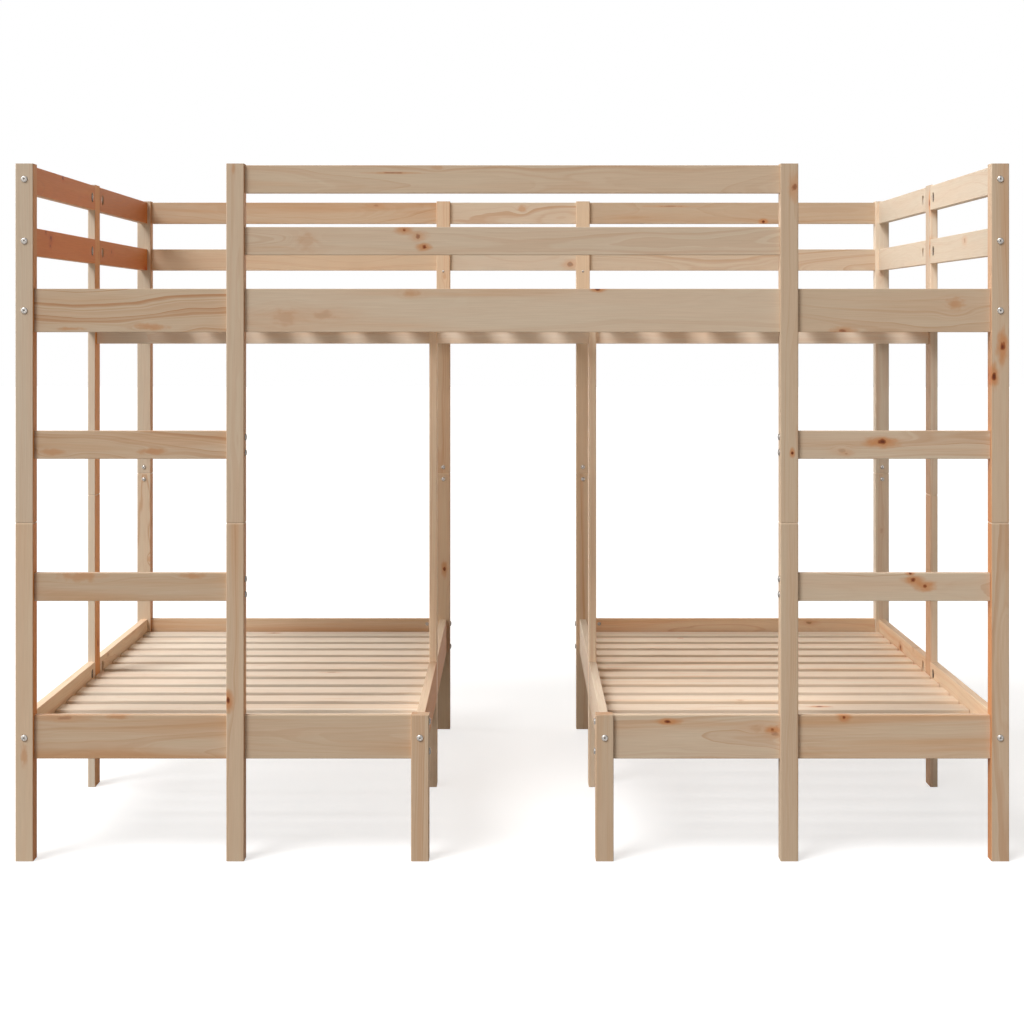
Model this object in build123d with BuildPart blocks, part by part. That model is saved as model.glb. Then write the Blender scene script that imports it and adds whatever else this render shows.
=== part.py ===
from build123d import *

import os

# Triple bunk bed in unfinished pine: one wide bed above two narrow ones, with an aisle between
# those two and a ladder at each end of the front. The origin is on the floor under the middle of
# the bed. X runs along the wide bed, Y from the front to the back and Z up, in millimetres.

os.makedirs("parts", exist_ok=True)

# Mattresses that the frame is made for, the narrow ones lying from front to back
WIDE_MATTRESS_LENGTH = 2000
WIDE_MATTRESS_WIDTH = 1400
NARROW_MATTRESS_WIDTH = 800

# Sawn sizes of the timber
POST_SIDE = 37
BOARD_THICKNESS = 18
RAIL_HEIGHT = 90
GUARD_HEIGHT = 58
MID_POST_DEPTH = 58
SLAT_WIDTH = 70
SLAT_THICKNESS = 18
BATTEN_SIDE = 28
POST_EDGE_EASE = 2

# Heights above the floor
FLOOR = 0
LOWER_RAIL_TOP = 300.5
STEP_PITCH = 294.5
STEPS = 3
GUARD_GAP = 70
GUARDS = 2
POST_RISE = 3
LEG_RISE = 1.5
LOWER_POST_LENGTH = 700

# Ladders, slats and the beam under the wide bed's slats
RUNG_LENGTH = 399
SLAT_DROP = 34
SLAT_END_GAP = 1
WIDE_BED_SLATS = 17
NARROW_BED_SLATS = 13
BEAM_HEIGHT = 70

# Steel bolts, each with a button head outside a post and its end in a rail
BOLT_RADIUS = 3
BOLT_GRIP = 30
HEAD_RADIUS = 7
HEAD_HEIGHT = 3.5
HEAD_RECESS = 6
HOLE_CLEARANCE = 0.25
TIP_CLEARANCE = 2
RUNG_BOLT_SPREAD = 16
RAIL_BOLT_SPREAD = 31

# Studs and tie rods, which hold two boards end to end on both sides of one post
STUD_GRIP = 30
TIE_GRIP = 33
TIE_NUT_RADIUS = 5.8
TIE_NUT_LENGTH = 5
POCKET_RADIUS = 12
POCKET_DEPTH = 15.5
POCKET_SETBACK = 34
SIDE_RAIL_TIE_RISE = 21

# Pins and dowels that join the lower and upper halves of the posts
PIN_RADIUS = 5
PIN_REACH = 40
LOCK_SPREAD = 16.5
LOCK_HEAD_RADIUS = 5.5
LOCK_HEAD_HEIGHT = 3
DOWEL_RADIUS = 4
DOWEL_REACH = 30
DOWEL_SPREAD = 16

# Flats round a shank, a head and a pocket, which keep the many small parts light
SHANK_FLATS = 6
HEAD_FLATS = 6
POCKET_FLATS = 8

# Sizes that follow: the rails run in the middle of the posts' width
RAIL_INSET = (POST_SIDE - BOARD_THICKNESS) / 2
FRAME_MARGIN = RAIL_INSET + BOARD_THICKNESS
LENGTH = WIDE_MATTRESS_LENGTH + 2 * FRAME_MARGIN
DEPTH = WIDE_MATTRESS_WIDTH + 2 * FRAME_MARGIN
NARROW_BED_WIDTH = NARROW_MATTRESS_WIDTH + 2 * FRAME_MARGIN
HALF_POST = POST_SIDE / 2
HALF_BOARD = BOARD_THICKNESS / 2
HALF_MID_POST = MID_POST_DEPTH / 2

# Grid lines that the posts stand on, as distances from the middle
CORNER_LINE = LENGTH / 2 - HALF_POST
LADDER_LINE = CORNER_LINE - POST_SIDE - RUNG_LENGTH
INNER_LINE = CORNER_LINE - NARROW_BED_WIDTH + POST_SIDE
ROW_LINE = DEPTH / 2 - HALF_POST

# Heights that follow
UPPER_RAIL_TOP = LOWER_RAIL_TOP + STEPS * STEP_PITCH
LOWER_RAIL_BOTTOM = LOWER_RAIL_TOP - RAIL_HEIGHT
UPPER_RAIL_BOTTOM = UPPER_RAIL_TOP - RAIL_HEIGHT
LOWER_RAIL_MIDDLE = LOWER_RAIL_TOP - RAIL_HEIGHT / 2
UPPER_RAIL_MIDDLE = UPPER_RAIL_TOP - RAIL_HEIGHT / 2
GUARD_BOTTOMS = [
    UPPER_RAIL_TOP + GUARD_GAP + level * (GUARD_HEIGHT + GUARD_GAP) for level in range(GUARDS)
]
GUARD_MIDDLES = [bottom + GUARD_HEIGHT / 2 for bottom in GUARD_BOTTOMS]
RUNG_BOTTOMS = [
    LOWER_RAIL_TOP + step * STEP_PITCH - GUARD_HEIGHT for step in range(1, STEPS)
]
RUNG_MIDDLES = [bottom + GUARD_HEIGHT / 2 for bottom in RUNG_BOTTOMS]
POST_TOP = GUARD_BOTTOMS[-1] + GUARD_HEIGHT + POST_RISE
LEG_TOP = LOWER_RAIL_TOP + LEG_RISE
LOWER_SLAT_BOTTOM = LOWER_RAIL_TOP - SLAT_DROP - SLAT_THICKNESS
UPPER_SLAT_BOTTOM = UPPER_RAIL_TOP - SLAT_DROP - SLAT_THICKNESS
BEAM_BOTTOM = UPPER_SLAT_BOTTOM - BEAM_HEIGHT
BEAM_MIDDLE = UPPER_SLAT_BOTTOM - BEAM_HEIGHT / 2

SIDES = {"left": -1, "right": 1}
ROWS = {"front": -1, "rear": 1}
ALONG_X = Vector(1, 0, 0)
ALONG_Y = Vector(0, 1, 0)
UP = Vector(0, 0, 1)

# Every hole, as its plane, which looks into the wood, its depth, radius and number of flats
holes = []
frame_bolts = []
recessed_bolts = []
studs = []
tie_rods = []
pins = []
locks = []
dowels = []


def hole(plane, depth, radius, flats):
    holes.append((plane, depth, radius, flats))


def prism(plane, radius, flats, length, mode=Mode.ADD):
    with BuildSketch(plane) as outline:
        RegularPolygon(radius=radius, side_count=flats)
    extrude(outline.sketch, amount=length, clean=False, mode=mode)


def board(x_span, y_span, bottom, top):
    """One straight board or post between two x, two y and two z."""
    with BuildSketch(Plane.XY.offset(bottom)) as section:
        with Locations((sum(x_span) / 2, sum(y_span) / 2)):
            Rectangle(max(x_span) - min(x_span), max(y_span) - min(y_span))
    extrude(section.sketch, amount=top - bottom)


def board_x(x_span, y, bottom, height):
    board(x_span, (y - HALF_BOARD, y + HALF_BOARD), bottom, bottom + height)


def board_y(x, y_span, bottom, height):
    board((x - HALF_BOARD, x + HALF_BOARD), y_span, bottom, bottom + height)


def post(x, y, bottom, top):
    board((x - HALF_POST, x + HALF_POST), (y - HALF_POST, y + HALF_POST), bottom, top)


def mid_post(x, bottom, top):
    board((x - HALF_BOARD, x + HALF_BOARD), (-HALF_MID_POST, HALF_MID_POST), bottom, top)


def drill(wood):
    """Cut every hole that reaches into the solids made so far."""
    boxes = [solid.bounding_box() for solid in wood.solids()]
    for plane, depth, radius, flats in holes:
        start = plane.origin
        end = plane.origin + plane.z_dir * depth
        reach = Vector(radius, radius, radius)
        low = Vector(min(start.X, end.X), min(start.Y, end.Y), min(start.Z, end.Z)) - reach
        high = Vector(max(start.X, end.X), max(start.Y, end.Y), max(start.Z, end.Z)) + reach
        if any(
            low.X < box.max.X and box.min.X < high.X
            and low.Y < box.max.Y and box.min.Y < high.Y
            and low.Z < box.max.Z and box.min.Z < high.Z
            for box in boxes
        ):
            prism(plane, radius, flats, depth, Mode.SUBTRACT)


def finish(builder, name):
    builder.part.label = name
    export_step(builder.part, f"parts/{name}.step")


# Fasteners first, because the wood is drilled for them


def post_bolt(centre, into, recessed=False):
    """A bolt through the post at centre, pointing along into, with its end in the rail beyond."""
    face = centre - into * HALF_POST
    recess = HEAD_RECESS if recessed else 0
    length = POST_SIDE + BOLT_GRIP
    kind = recessed_bolts if recessed else frame_bolts
    kind.append((Plane(origin=face + into * recess, z_dir=into), length - recess))
    outside = Plane(origin=face, z_dir=into)
    hole(outside, length + TIP_CLEARANCE, BOLT_RADIUS + HOLE_CLEARANCE, SHANK_FLATS)
    if recessed:
        hole(outside, recess, HEAD_RADIUS + HOLE_CLEARANCE, HEAD_FLATS)


def beam_bolt(sign):
    """The bolt through an outer mid post into the end of the beam."""
    into = ALONG_X * -sign
    face = Vector(sign * (CORNER_LINE + HALF_BOARD), 0, BEAM_MIDDLE)
    length = BOARD_THICKNESS + BOLT_GRIP
    outside = Plane(origin=face, z_dir=into)
    frame_bolts.append((outside, length))
    hole(outside, length + TIP_CLEARANCE, BOLT_RADIUS + HOLE_CLEARANCE, SHANK_FLATS)


def post_stud(centre, along):
    """A hidden stud through a post, with an end in the rail on each side."""
    reach = HALF_POST + STUD_GRIP
    studs.append((Plane(origin=centre - along * reach, z_dir=along), 2 * reach))
    reach += TIP_CLEARANCE
    plane = Plane(origin=centre - along * reach, z_dir=along)
    hole(plane, 2 * reach, BOLT_RADIUS + HOLE_CLEARANCE, SHANK_FLATS)


def tie_rod(centre, along, half_post, pocket_face, pocket_into):
    """A rod through a mid post, with a nut in an open pocket of the board on each side."""
    reach = half_post + TIE_GRIP
    tie_rods.append((Plane(origin=centre - along * reach, z_dir=along), 2 * reach))
    setback = half_post + POCKET_SETBACK
    plane = Plane(origin=centre - along * setback, z_dir=along)
    hole(plane, 2 * setback, BOLT_RADIUS + HOLE_CLEARANCE, SHANK_FLATS)
    for way in (-1, 1):
        pocket = centre + along * way * setback + pocket_face
        hole(Plane(origin=pocket, z_dir=pocket_into), POCKET_DEPTH, POCKET_RADIUS, POCKET_FLATS)


def post_pin(x, y, row_sign):
    """The pin between a post's halves, and the two screws that lock it from the bed's side."""
    low = Vector(x, y, LOWER_POST_LENGTH - PIN_REACH)
    pins.append((Plane(origin=low, z_dir=UP), 2 * PIN_REACH))
    low -= UP * TIP_CLEARANCE
    depth = 2 * (PIN_REACH + TIP_CLEARANCE)
    hole(Plane(origin=low, z_dir=UP), depth, PIN_RADIUS + HOLE_CLEARANCE, SHANK_FLATS)
    for way in (-1, 1):
        height = LOWER_POST_LENGTH + way * LOCK_SPREAD
        seat = Vector(x, y - row_sign * HALF_POST, height)
        plane = Plane(origin=seat, z_dir=ALONG_Y * row_sign)
        reach = HALF_POST - PIN_RADIUS
        locks.append((plane, reach - HOLE_CLEARANCE))
        hole(plane, reach, BOLT_RADIUS + HOLE_CLEARANCE, SHANK_FLATS)


for row_sign in ROWS.values():
    back = ALONG_Y * -row_sign
    y = row_sign * ROW_LINE
    for sign in SIDES.values():
        corner = sign * CORNER_LINE
        inner = sign * INNER_LINE
        outward = ALONG_X * sign

        # Side rails and side guards, one bolt each in the middle of their height
        for z in (LOWER_RAIL_MIDDLE, UPPER_RAIL_MIDDLE, *GUARD_MIDDLES):
            post_bolt(Vector(corner, y, z), back)
        post_bolt(Vector(inner, y, LOWER_RAIL_MIDDLE), back)

        # Long rails, two bolts at each outer end
        for spread in (-RAIL_BOLT_SPREAD, RAIL_BOLT_SPREAD):
            for z in (LOWER_RAIL_MIDDLE + spread, UPPER_RAIL_MIDDLE + spread):
                post_bolt(Vector(corner, y, z), -outward, recessed=True)
            post_bolt(Vector(inner, y, LOWER_RAIL_MIDDLE + spread), outward)
        post_pin(corner, y, row_sign)

for sign in SIDES.values():
    outward = ALONG_X * sign
    corner = sign * CORNER_LINE
    ladder = sign * LADDER_LINE
    inner = sign * INNER_LINE

    # Ladder: rungs, the front guards' ends and the front rails' joints at the ladder post
    for z in RUNG_MIDDLES:
        post_bolt(Vector(corner, -ROW_LINE, z), -outward, recessed=True)
    for spread in (-RUNG_BOLT_SPREAD, RUNG_BOLT_SPREAD):
        for z in RUNG_MIDDLES:
            post_bolt(Vector(ladder, -ROW_LINE, z + spread), outward)
        for z in GUARD_MIDDLES:
            post_bolt(Vector(corner, ROW_LINE, z + spread), -outward, recessed=True)
    for z in GUARD_MIDDLES:
        post_bolt(Vector(ladder, -ROW_LINE, z), -outward)
        post_stud(Vector(inner, ROW_LINE, z), ALONG_X)
    post_stud(Vector(ladder, -ROW_LINE, LOWER_RAIL_MIDDLE), ALONG_X)
    post_stud(Vector(ladder, -ROW_LINE, UPPER_RAIL_MIDDLE), ALONG_X)
    post_stud(Vector(inner, ROW_LINE, UPPER_RAIL_MIDDLE), ALONG_X)
    post_pin(ladder, -ROW_LINE, -1)
    post_pin(inner, ROW_LINE, 1)

    # Mid posts: tie rods along the side rails, with pockets that face the mattress
    side_ties = [(corner, 1, z) for z in GUARD_MIDDLES]
    side_ties.append((corner, 1, UPPER_RAIL_MIDDLE + SIDE_RAIL_TIE_RISE))
    side_ties.append((corner, 1, LOWER_RAIL_MIDDLE + SIDE_RAIL_TIE_RISE))
    side_ties.append((inner, -1, LOWER_RAIL_MIDDLE + SIDE_RAIL_TIE_RISE))
    for x, way, z in side_ties:
        into = outward * way
        tie_rod(Vector(x, 0, z), ALONG_Y, HALF_MID_POST, into * -HALF_BOARD, into)
    tie_rod(
        Vector(inner, 0, BEAM_MIDDLE), ALONG_X, HALF_BOARD, ALONG_Y * HALF_BOARD, -ALONG_Y
    )
    beam_bolt(sign)

    # Outer mid posts: two dowels between their halves
    for y in (-DOWEL_SPREAD, DOWEL_SPREAD):
        low = Vector(corner, y, LOWER_POST_LENGTH - DOWEL_REACH)
        dowels.append((Plane(origin=low, z_dir=UP), 2 * DOWEL_REACH))
        low -= UP * TIP_CLEARANCE
        depth = 2 * (DOWEL_REACH + TIP_CLEARANCE)
        hole(Plane(origin=low, z_dir=UP), depth, DOWEL_RADIUS + HOLE_CLEARANCE, SHANK_FLATS)

# Square posts, each in a lower and an upper half
square_posts = {}
for side, sign in SIDES.items():
    for row, row_sign in ROWS.items():
        square_posts[f"{row}_{side}_post"] = (sign * CORNER_LINE, row_sign * ROW_LINE)
    square_posts[f"{side}_ladder_post"] = (sign * LADDER_LINE, -ROW_LINE)
    square_posts[f"{side}_rear_inner_post"] = (sign * INNER_LINE, ROW_LINE)
halves = {"lower": (FLOOR, LOWER_POST_LENGTH), "upper": (LOWER_POST_LENGTH, POST_TOP)}

for name, (x, y) in square_posts.items():
    for half, (bottom, top) in halves.items():
        with BuildPart() as post_half:
            post(x, y, bottom, top)
            chamfer(post_half.edges().filter_by(Axis.Z), length=POST_EDGE_EASE)
            drill(post_half)
        finish(post_half, f"{name}_{half}")

# Short legs at the front, where the aisle begins, and the mid posts
for side, sign in SIDES.items():
    with BuildPart() as short_leg:
        post(sign * INNER_LINE, -ROW_LINE, FLOOR, LEG_TOP)
        chamfer(short_leg.edges().filter_by(Axis.Z), length=POST_EDGE_EASE)
        drill(short_leg)
    finish(short_leg, f"{side}_short_leg")

    for half, (bottom, top) in halves.items():
        with BuildPart() as mid_post_half:
            mid_post(sign * CORNER_LINE, bottom, top)
            drill(mid_post_half)
        finish(mid_post_half, f"{side}_mid_post_{half}")

    with BuildPart() as inner_mid_post:
        mid_post(sign * INNER_LINE, FLOOR, UPPER_SLAT_BOTTOM)
        drill(inner_mid_post)
    finish(inner_mid_post, f"{side}_inner_mid_post")

# Spans between neighbouring posts, from face to face
CORNER_FACE = CORNER_LINE - HALF_POST
LADDER_OUTER_FACE = LADDER_LINE + HALF_POST
LADDER_INNER_FACE = LADDER_LINE - HALF_POST
INNER_POST_OUTER_FACE = INNER_LINE + HALF_POST
INNER_POST_INNER_FACE = INNER_LINE - HALF_POST
ROW_FACE = ROW_LINE - HALF_POST


def mirrored(span, sign):
    return tuple(sign * end for end in span)


def side_spans():
    """The two stretches of a side rail, in front of and behind its mid post."""
    return ((-ROW_FACE, -HALF_MID_POST), (HALF_MID_POST, ROW_FACE))


# Rails of the wide bed
for side, sign in SIDES.items():
    with BuildPart() as front_upper_rail:
        span = mirrored((CORNER_FACE, LADDER_OUTER_FACE), sign)
        board_x(span, -ROW_LINE, UPPER_RAIL_BOTTOM, RAIL_HEIGHT)
        drill(front_upper_rail)
    finish(front_upper_rail, f"front_upper_rail_{side}")

    with BuildPart() as upper_side_rails:
        for span in side_spans():
            board_y(sign * CORNER_LINE, span, UPPER_RAIL_BOTTOM, RAIL_HEIGHT)
        drill(upper_side_rails)
    finish(upper_side_rails, f"{side}_upper_side_rails")

with BuildPart() as front_upper_rail_middle:
    board_x((-LADDER_INNER_FACE, LADDER_INNER_FACE), -ROW_LINE, UPPER_RAIL_BOTTOM, RAIL_HEIGHT)
    drill(front_upper_rail_middle)
finish(front_upper_rail_middle, "front_upper_rail_middle")

rear_spans = [
    (-CORNER_FACE, -INNER_POST_OUTER_FACE),
    (-INNER_POST_INNER_FACE, INNER_POST_INNER_FACE),
    (INNER_POST_OUTER_FACE, CORNER_FACE),
]
with BuildPart() as rear_upper_rails:
    for span in rear_spans:
        board_x(span, ROW_LINE, UPPER_RAIL_BOTTOM, RAIL_HEIGHT)
    drill(rear_upper_rails)
finish(rear_upper_rails, "rear_upper_rails")

# Rails of the two narrow beds
for side, sign in SIDES.items():
    with BuildPart() as front_rails:
        for span in (
            (CORNER_FACE, LADDER_OUTER_FACE),
            (LADDER_INNER_FACE, INNER_POST_OUTER_FACE),
        ):
            board_x(mirrored(span, sign), -ROW_LINE, LOWER_RAIL_BOTTOM, RAIL_HEIGHT)
        drill(front_rails)
    finish(front_rails, f"{side}_bed_front_rails")

    with BuildPart() as rear_rail:
        span = mirrored((CORNER_FACE, INNER_POST_OUTER_FACE), sign)
        board_x(span, ROW_LINE, LOWER_RAIL_BOTTOM, RAIL_HEIGHT)
        drill(rear_rail)
    finish(rear_rail, f"{side}_bed_rear_rail")

    for edge, line in {"outer": CORNER_LINE, "inner": INNER_LINE}.items():
        with BuildPart() as side_rails:
            for span in side_spans():
                board_y(sign * line, span, LOWER_RAIL_BOTTOM, RAIL_HEIGHT)
            drill(side_rails)
        finish(side_rails, f"{side}_bed_{edge}_rails")

# Ladder rungs and guard rails
for side, sign in SIDES.items():
    with BuildPart() as rungs:
        for bottom in RUNG_BOTTOMS:
            span = mirrored((CORNER_FACE, LADDER_OUTER_FACE), sign)
            board_x(span, -ROW_LINE, bottom, GUARD_HEIGHT)
        drill(rungs)
    finish(rungs, f"{side}_ladder_rungs")

    with BuildPart() as side_guards:
        for bottom in GUARD_BOTTOMS:
            for span in side_spans():
                board_y(sign * CORNER_LINE, span, bottom, GUARD_HEIGHT)
        drill(side_guards)
    finish(side_guards, f"{side}_guard_rails")

with BuildPart() as front_guards:
    for bottom in GUARD_BOTTOMS:
        board_x((-LADDER_INNER_FACE, LADDER_INNER_FACE), -ROW_LINE, bottom, GUARD_HEIGHT)
    drill(front_guards)
finish(front_guards, "front_guard_rails")

with BuildPart() as rear_guards:
    for bottom in GUARD_BOTTOMS:
        for span in rear_spans:
            board_x(span, ROW_LINE, bottom, GUARD_HEIGHT)
    drill(rear_guards)
finish(rear_guards, "rear_guard_rails")

# Beam under the wide bed's slats, in three lengths between the mid posts
with BuildPart() as centre_beam:
    for span in (
        (-CORNER_LINE + HALF_BOARD, -INNER_LINE - HALF_BOARD),
        (-INNER_LINE + HALF_BOARD, INNER_LINE - HALF_BOARD),
        (INNER_LINE + HALF_BOARD, CORNER_LINE - HALF_BOARD),
    ):
        board_x(span, 0, BEAM_BOTTOM, BEAM_HEIGHT)
    drill(centre_beam)
finish(centre_beam, "centre_beam")

# Battens on the rails' inner faces, under the ends of the slats
with BuildPart() as slat_battens:
    upper_batten_bottom = UPPER_SLAT_BOTTOM - BATTEN_SIDE
    rail_face = ROW_LINE - HALF_BOARD
    front_batten_spans = [
        (-CORNER_FACE, -LADDER_OUTER_FACE),
        (-LADDER_INNER_FACE, LADDER_INNER_FACE),
        (LADDER_OUTER_FACE, CORNER_FACE),
    ]
    for row_sign, spans in ((-1, front_batten_spans), (1, rear_spans)):
        y_span = mirrored((rail_face, rail_face - BATTEN_SIDE), row_sign)
        for span in spans:
            board(span, y_span, upper_batten_bottom, UPPER_SLAT_BOTTOM)
    lower_batten_bottom = LOWER_SLAT_BOTTOM - BATTEN_SIDE
    outer_face = CORNER_LINE - HALF_BOARD
    inner_face = INNER_LINE + HALF_BOARD
    for sign in SIDES.values():
        for x_span in (
            (outer_face, outer_face - BATTEN_SIDE),
            (inner_face, inner_face + BATTEN_SIDE),
        ):
            x_span = mirrored(x_span, sign)
            board(x_span, (-ROW_FACE, ROW_FACE), lower_batten_bottom, LOWER_SLAT_BOTTOM)
finish(slat_battens, "slat_battens")


def slat_centres(reach, count):
    """Middles of slats spread evenly from -reach to reach, the outer ones flush with the ends."""
    pitch = (2 * reach - SLAT_WIDTH) / (count - 1)
    return [-reach + SLAT_WIDTH / 2 + number * pitch for number in range(count)]


# Slats: the wide bed's lie from front to back, the narrow beds' along the wide bed
with BuildPart() as upper_slats:
    y_span = (-ROW_FACE + SLAT_END_GAP, ROW_FACE - SLAT_END_GAP)
    for x in slat_centres(CORNER_FACE, WIDE_BED_SLATS):
        x_span = (x - SLAT_WIDTH / 2, x + SLAT_WIDTH / 2)
        board(x_span, y_span, UPPER_SLAT_BOTTOM, UPPER_SLAT_BOTTOM + SLAT_THICKNESS)
finish(upper_slats, "upper_bed_slats")

for side, sign in SIDES.items():
    with BuildPart() as lower_slats:
        span = (CORNER_LINE - HALF_BOARD - SLAT_END_GAP, INNER_LINE + HALF_BOARD + SLAT_END_GAP)
        for y in slat_centres(ROW_FACE, NARROW_BED_SLATS):
            y_span = (y - SLAT_WIDTH / 2, y + SLAT_WIDTH / 2)
            top = LOWER_SLAT_BOTTOM + SLAT_THICKNESS
            board(mirrored(span, sign), y_span, LOWER_SLAT_BOTTOM, top)
    finish(lower_slats, f"{side}_bed_slats")

# Fasteners, with their heads outside their seats
for name, bolts, head_radius, head_height in (
    ("frame_bolts", frame_bolts, HEAD_RADIUS, HEAD_HEIGHT),
    ("recessed_bolts", recessed_bolts, HEAD_RADIUS, HEAD_HEIGHT),
    ("pin_lock_screws", locks, LOCK_HEAD_RADIUS, LOCK_HEAD_HEIGHT),
):
    with BuildPart() as bolt_set:
        for seat, length in bolts:
            prism(seat, head_radius, HEAD_FLATS, -head_height)
            prism(seat, BOLT_RADIUS, SHANK_FLATS, length)
    finish(bolt_set, name)

for name, rods, radius in (
    ("post_studs", studs, BOLT_RADIUS),
    ("post_joining_pins", pins, PIN_RADIUS),
    ("mid_post_dowels", dowels, DOWEL_RADIUS),
):
    with BuildPart() as rod_set:
        for end, length in rods:
            prism(end, radius, SHANK_FLATS, length)
    finish(rod_set, name)

with BuildPart() as tie_rod_set:
    for end, length in tie_rods:
        prism(end, BOLT_RADIUS, SHANK_FLATS, length)
        far_nut = Plane(origin=end.origin + end.z_dir * (length - TIE_NUT_LENGTH), z_dir=end.z_dir)
        for nut in (end, far_nut):
            prism(nut, TIE_NUT_RADIUS, SHANK_FLATS, TIE_NUT_LENGTH)
finish(tie_rod_set, "mid_post_tie_rods")
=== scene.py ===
import collections
import math
import random

import bmesh
import bpy
from mathutils import Matrix, Vector


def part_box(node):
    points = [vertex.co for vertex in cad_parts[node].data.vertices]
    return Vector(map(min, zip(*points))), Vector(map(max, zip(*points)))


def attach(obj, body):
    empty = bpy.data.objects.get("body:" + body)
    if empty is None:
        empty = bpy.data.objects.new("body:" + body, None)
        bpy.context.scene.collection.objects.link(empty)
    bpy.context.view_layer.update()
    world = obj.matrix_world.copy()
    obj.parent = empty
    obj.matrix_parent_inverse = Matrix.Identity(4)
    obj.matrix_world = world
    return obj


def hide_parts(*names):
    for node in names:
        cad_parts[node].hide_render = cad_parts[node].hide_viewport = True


# Triple bunk bed in unfinished pine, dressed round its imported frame. All lengths are in metres.

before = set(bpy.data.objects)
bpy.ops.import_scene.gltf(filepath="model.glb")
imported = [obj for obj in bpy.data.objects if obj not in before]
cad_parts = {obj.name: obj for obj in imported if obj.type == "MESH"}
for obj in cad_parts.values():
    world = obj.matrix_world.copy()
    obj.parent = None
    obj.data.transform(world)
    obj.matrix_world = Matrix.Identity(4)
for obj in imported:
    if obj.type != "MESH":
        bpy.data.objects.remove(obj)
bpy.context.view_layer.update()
BODY = "root"
AXES = (Vector((1, 0, 0)), Vector((0, 1, 0)), Vector((0, 0, 1)))

# Edges of the timber, and how finely they are rounded. A lower post's top end has a long bevel,
# which shows as a pale line at the split, with a painted highlight on it in the pine. END_INSET
# keeps a bevel shallower than the round edges, and END_STEP is where it bends
POST_EASE = 0.002
BOARD_EASE = 0.0012
SLAT_EASE = 0.0016
END_EASE = 0.0005
SPLIT_EASE = 0.003
END_INSET = 0.6
END_STEP = 0.3
EASE_STEPS = 3
HOLE_SIDES = 32
OVERRUN = 0.004
WELD = 1e-6

# Pockets, recesses and barrel nuts
POCKET_RADIUS = 0.012
POCKET_DEPTH = 0.0155
POCKET_BEYOND_ROD = 0.001
RECESS_RADIUS = 0.0074
RECESS_DEPTH = 0.006
BARREL_RADIUS = 0.005
BARREL_LENGTH = 0.0143
BARREL_DEPTH = 0.0155
BARREL_BACK = 0.004
BARREL_SIDES = 24
SLOT_SHARE = 0.16
SLOT_DEPTH_SHARE = 0.12
FIT_GAP = 0.0002
WASHER_GAP = 0.0006
WASHER_HALF = 0.47
ARC_STEPS = 12

# Bolt heads, mostly as shares of their radius or height. A corner of a bolt belongs to the head
# where it lies further out than the radius divided by HEAD_SHARE
HEAD_SHARE = 1.6
HEAD_SIDES = 36
HEAD_EDGE = 0.12
DOME_STEPS = 7
FLAT_RING = 1.25
SOCKET_SHARE = 0.27
SOCKET_DEPTH_SHARE = 0.6
SOCKET_POINT = 0.08
SOCKET_EDGE = 0.97
SOCKET_EASE = 0.04
# The socket, and heads on faces turned along X, get painted shade
IN_SOCKET = (1.0, 0.0, 0.0)
SHADE_ON_LEFT = 0.45
SHADE_ON_RIGHT = 0.75

# Shanks, rods and nuts
THREAD_PITCH = 0.001
THREAD_ROOT = 0.82
TIP_START = 0.7
TIP_LENGTH = 0.2
TIP_END = 0.55
SHANK_SIDES = 12
ROD_RADIUS = 0.003
PIN_RADIUS = 0.005
DOWEL_RADIUS = 0.004
ROD_CHAMFER = 0.25
ROD_SIDES = 16
NUT_LENGTH = 0.005
NUT_RADIUS = 0.0058
NUT_END = 0.88
NUT_CHAMFER = 0.15
NUT_SIDES = 6

# Growth of the timber
PITH_SIDEWAYS = 0.03
PITH_NEAREST = 0.03
PITH_FARTHEST = 0.09
KNOT_SLOTS = 4
NO_KNOT = (99.0, 99.0, 0.0)
NO_KIND = (0.0, 0.0, 1.0)

# The guards' fittings lie above this height. The rest are how far from the middle, along X, the
# gap's sides end, the corners begin and the ends' outer faces begin
GUARD_LEVEL = 1.2
GAP_REACH = 0.5
CORNER_REACH = 0.9
END_REACH = 1.0


def solids_of(node):
    """The corners of each separate solid of a CAD node, as one list of points for each."""
    mesh = bmesh.new()
    mesh.from_mesh(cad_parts[node].data)
    bmesh.ops.remove_doubles(mesh, verts=mesh.verts, dist=WELD)
    solids = []
    seen = set()
    for start in mesh.verts:
        if start in seen:
            continue
        seen.add(start)
        waiting = [start]
        points = []
        while waiting:
            vert = waiting.pop()
            points.append(vert.co.copy())
            for edge in vert.link_edges:
                other = edge.other_vert(vert)
                if other not in seen:
                    seen.add(other)
                    waiting.append(other)
        solids.append(points)
    mesh.free()
    return sorted(solids, key=lambda points: tuple(round(v, 4) for v in box_of(points)[0]))


def box_of(points):
    """Lowest and highest corner of some points."""
    return Vector(map(min, zip(*points))), Vector(map(max, zip(*points)))


def long_axis(low, high):
    size = high - low
    return max(range(3), key=lambda axis: size[axis])


def new_object(name, data):
    piece = bpy.data.objects.new(name, data)
    bpy.context.scene.collection.objects.link(piece)
    return piece


def wall(mesh, ring, after):
    """Faces between two closed rings of corners."""
    for number in range(len(ring)):
        beyond = (number + 1) % len(ring)
        mesh.faces.new((ring[number], ring[beyond], after[beyond], after[number]))


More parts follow.
